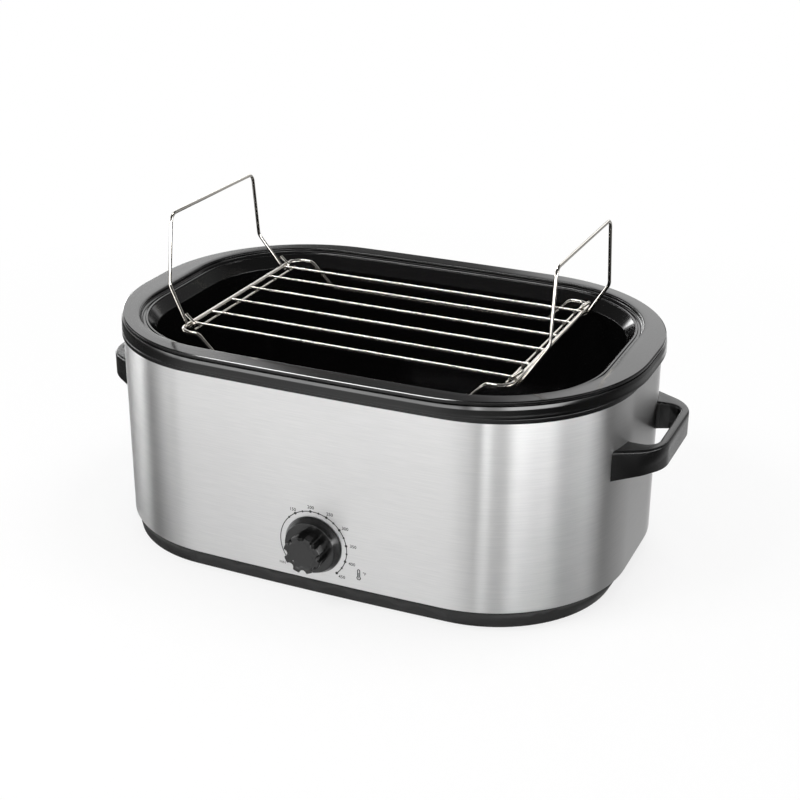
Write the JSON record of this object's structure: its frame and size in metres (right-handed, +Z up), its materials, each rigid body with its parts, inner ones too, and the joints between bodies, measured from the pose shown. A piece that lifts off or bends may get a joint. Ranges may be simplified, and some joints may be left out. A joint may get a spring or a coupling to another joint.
{
  "type": "electric roaster oven",
  "caption": "Electric roaster oven: rounded brushed steel housing with side handles and a heat dial, a lift-out enamelled pan and a raised wire rack with folding bails.",
  "frame": {"origin": "on the table, under the middle of the overall box", "axes": "+Z up, +X from the left-hand handle to the right-hand one, -Y towards the dial at the front"},
  "size_m": [0.604, 0.3865, 0.3357],
  "materials": {
    "steel_wrap": "horizontal brushed",
    "base_paint": "matte",
    "rim_paint": "gloss",
    "well_steel": "satin",
    "plated_steel": "satin",
    "heater": "satin",
    "glass_wool": "matte",
    "moulding": "satin",
    "insulator": "matte",
    "foot_rubber": "matte",
    "dial_plastic": "satin",
    "enamel": "gloss",
    "chrome_wire": "polished"
  },
  "bodies": {
    "housing": {"outer_wrap": "steel_wrap", "base_tray": "base_paint", "top_rim": "rim_paint", "heating_well": "well_steel", "heater_band": "heater", "heater_clips": "plated_steel", "lagging": "glass_wool", "heat_shield": "plated_steel", "lower_spacers": "plated_steel", "upper_spacers": "plated_steel", "tie_screws": "plated_steel", "thermostat_body": "insulator", "thermostat_plate": "plated_steel", "thermostat_screws": "plated_steel", "cord_gland": "moulding", "terminal_block": "insulator", "foot_front_left": "foot_rubber", "foot_front_right": "foot_rubber", "foot_rear_left": "foot_rubber", "foot_rear_right": "foot_rubber", "handle_right": "moulding", "handle_left": "moulding", "handle_screws_right": "plated_steel", "handle_screws_left": "plated_steel", "handle_backing_right": "plated_steel", "handle_backing_left": "plated_steel"},
    "dial": {"knob": "dial_plastic", "knob_shaft": "plated_steel"},
    "pan": {"cooking_pan": "enamel"},
    "rack": {"rack_frame": "chrome_wire", "grate_wires": "chrome_wire", "rack_cross_wires": "chrome_wire"},
    "bail_right": {"bail_right": "chrome_wire"},
    "bail_left": {"bail_left": "chrome_wire"}
  },
  "joints": [
    {"name": "knob_turn", "type": "hinge", "parent": "housing", "child": "dial", "pos_m": [0, -0.16719, 0.0582], "axis": [0, 1, 0], "range_deg": [0, 272]},
    {"name": "pan_lift", "type": "slide", "parent": "housing", "child": "pan", "axis": [0, 0, 1], "range_m": [0, 0.2]},
    {"name": "rack_lift", "type": "slide", "parent": "pan", "child": "rack", "axis": [0, 0, 1], "range_m": [-0.14915, 0.08]},
    {"name": "bail_right_fold", "type": "hinge", "parent": "rack", "child": "bail_right", "pos_m": [0.1724, 0.01091, 0.2294], "axis": [0, -1, 0], "range_deg": [0, 100]},
    {"name": "bail_left_fold", "type": "hinge", "parent": "rack", "child": "bail_left", "pos_m": [-0.1724, 0.01091, 0.2294], "axis": [0, 1, 0], "range_deg": [0, 100]}
  ]
}
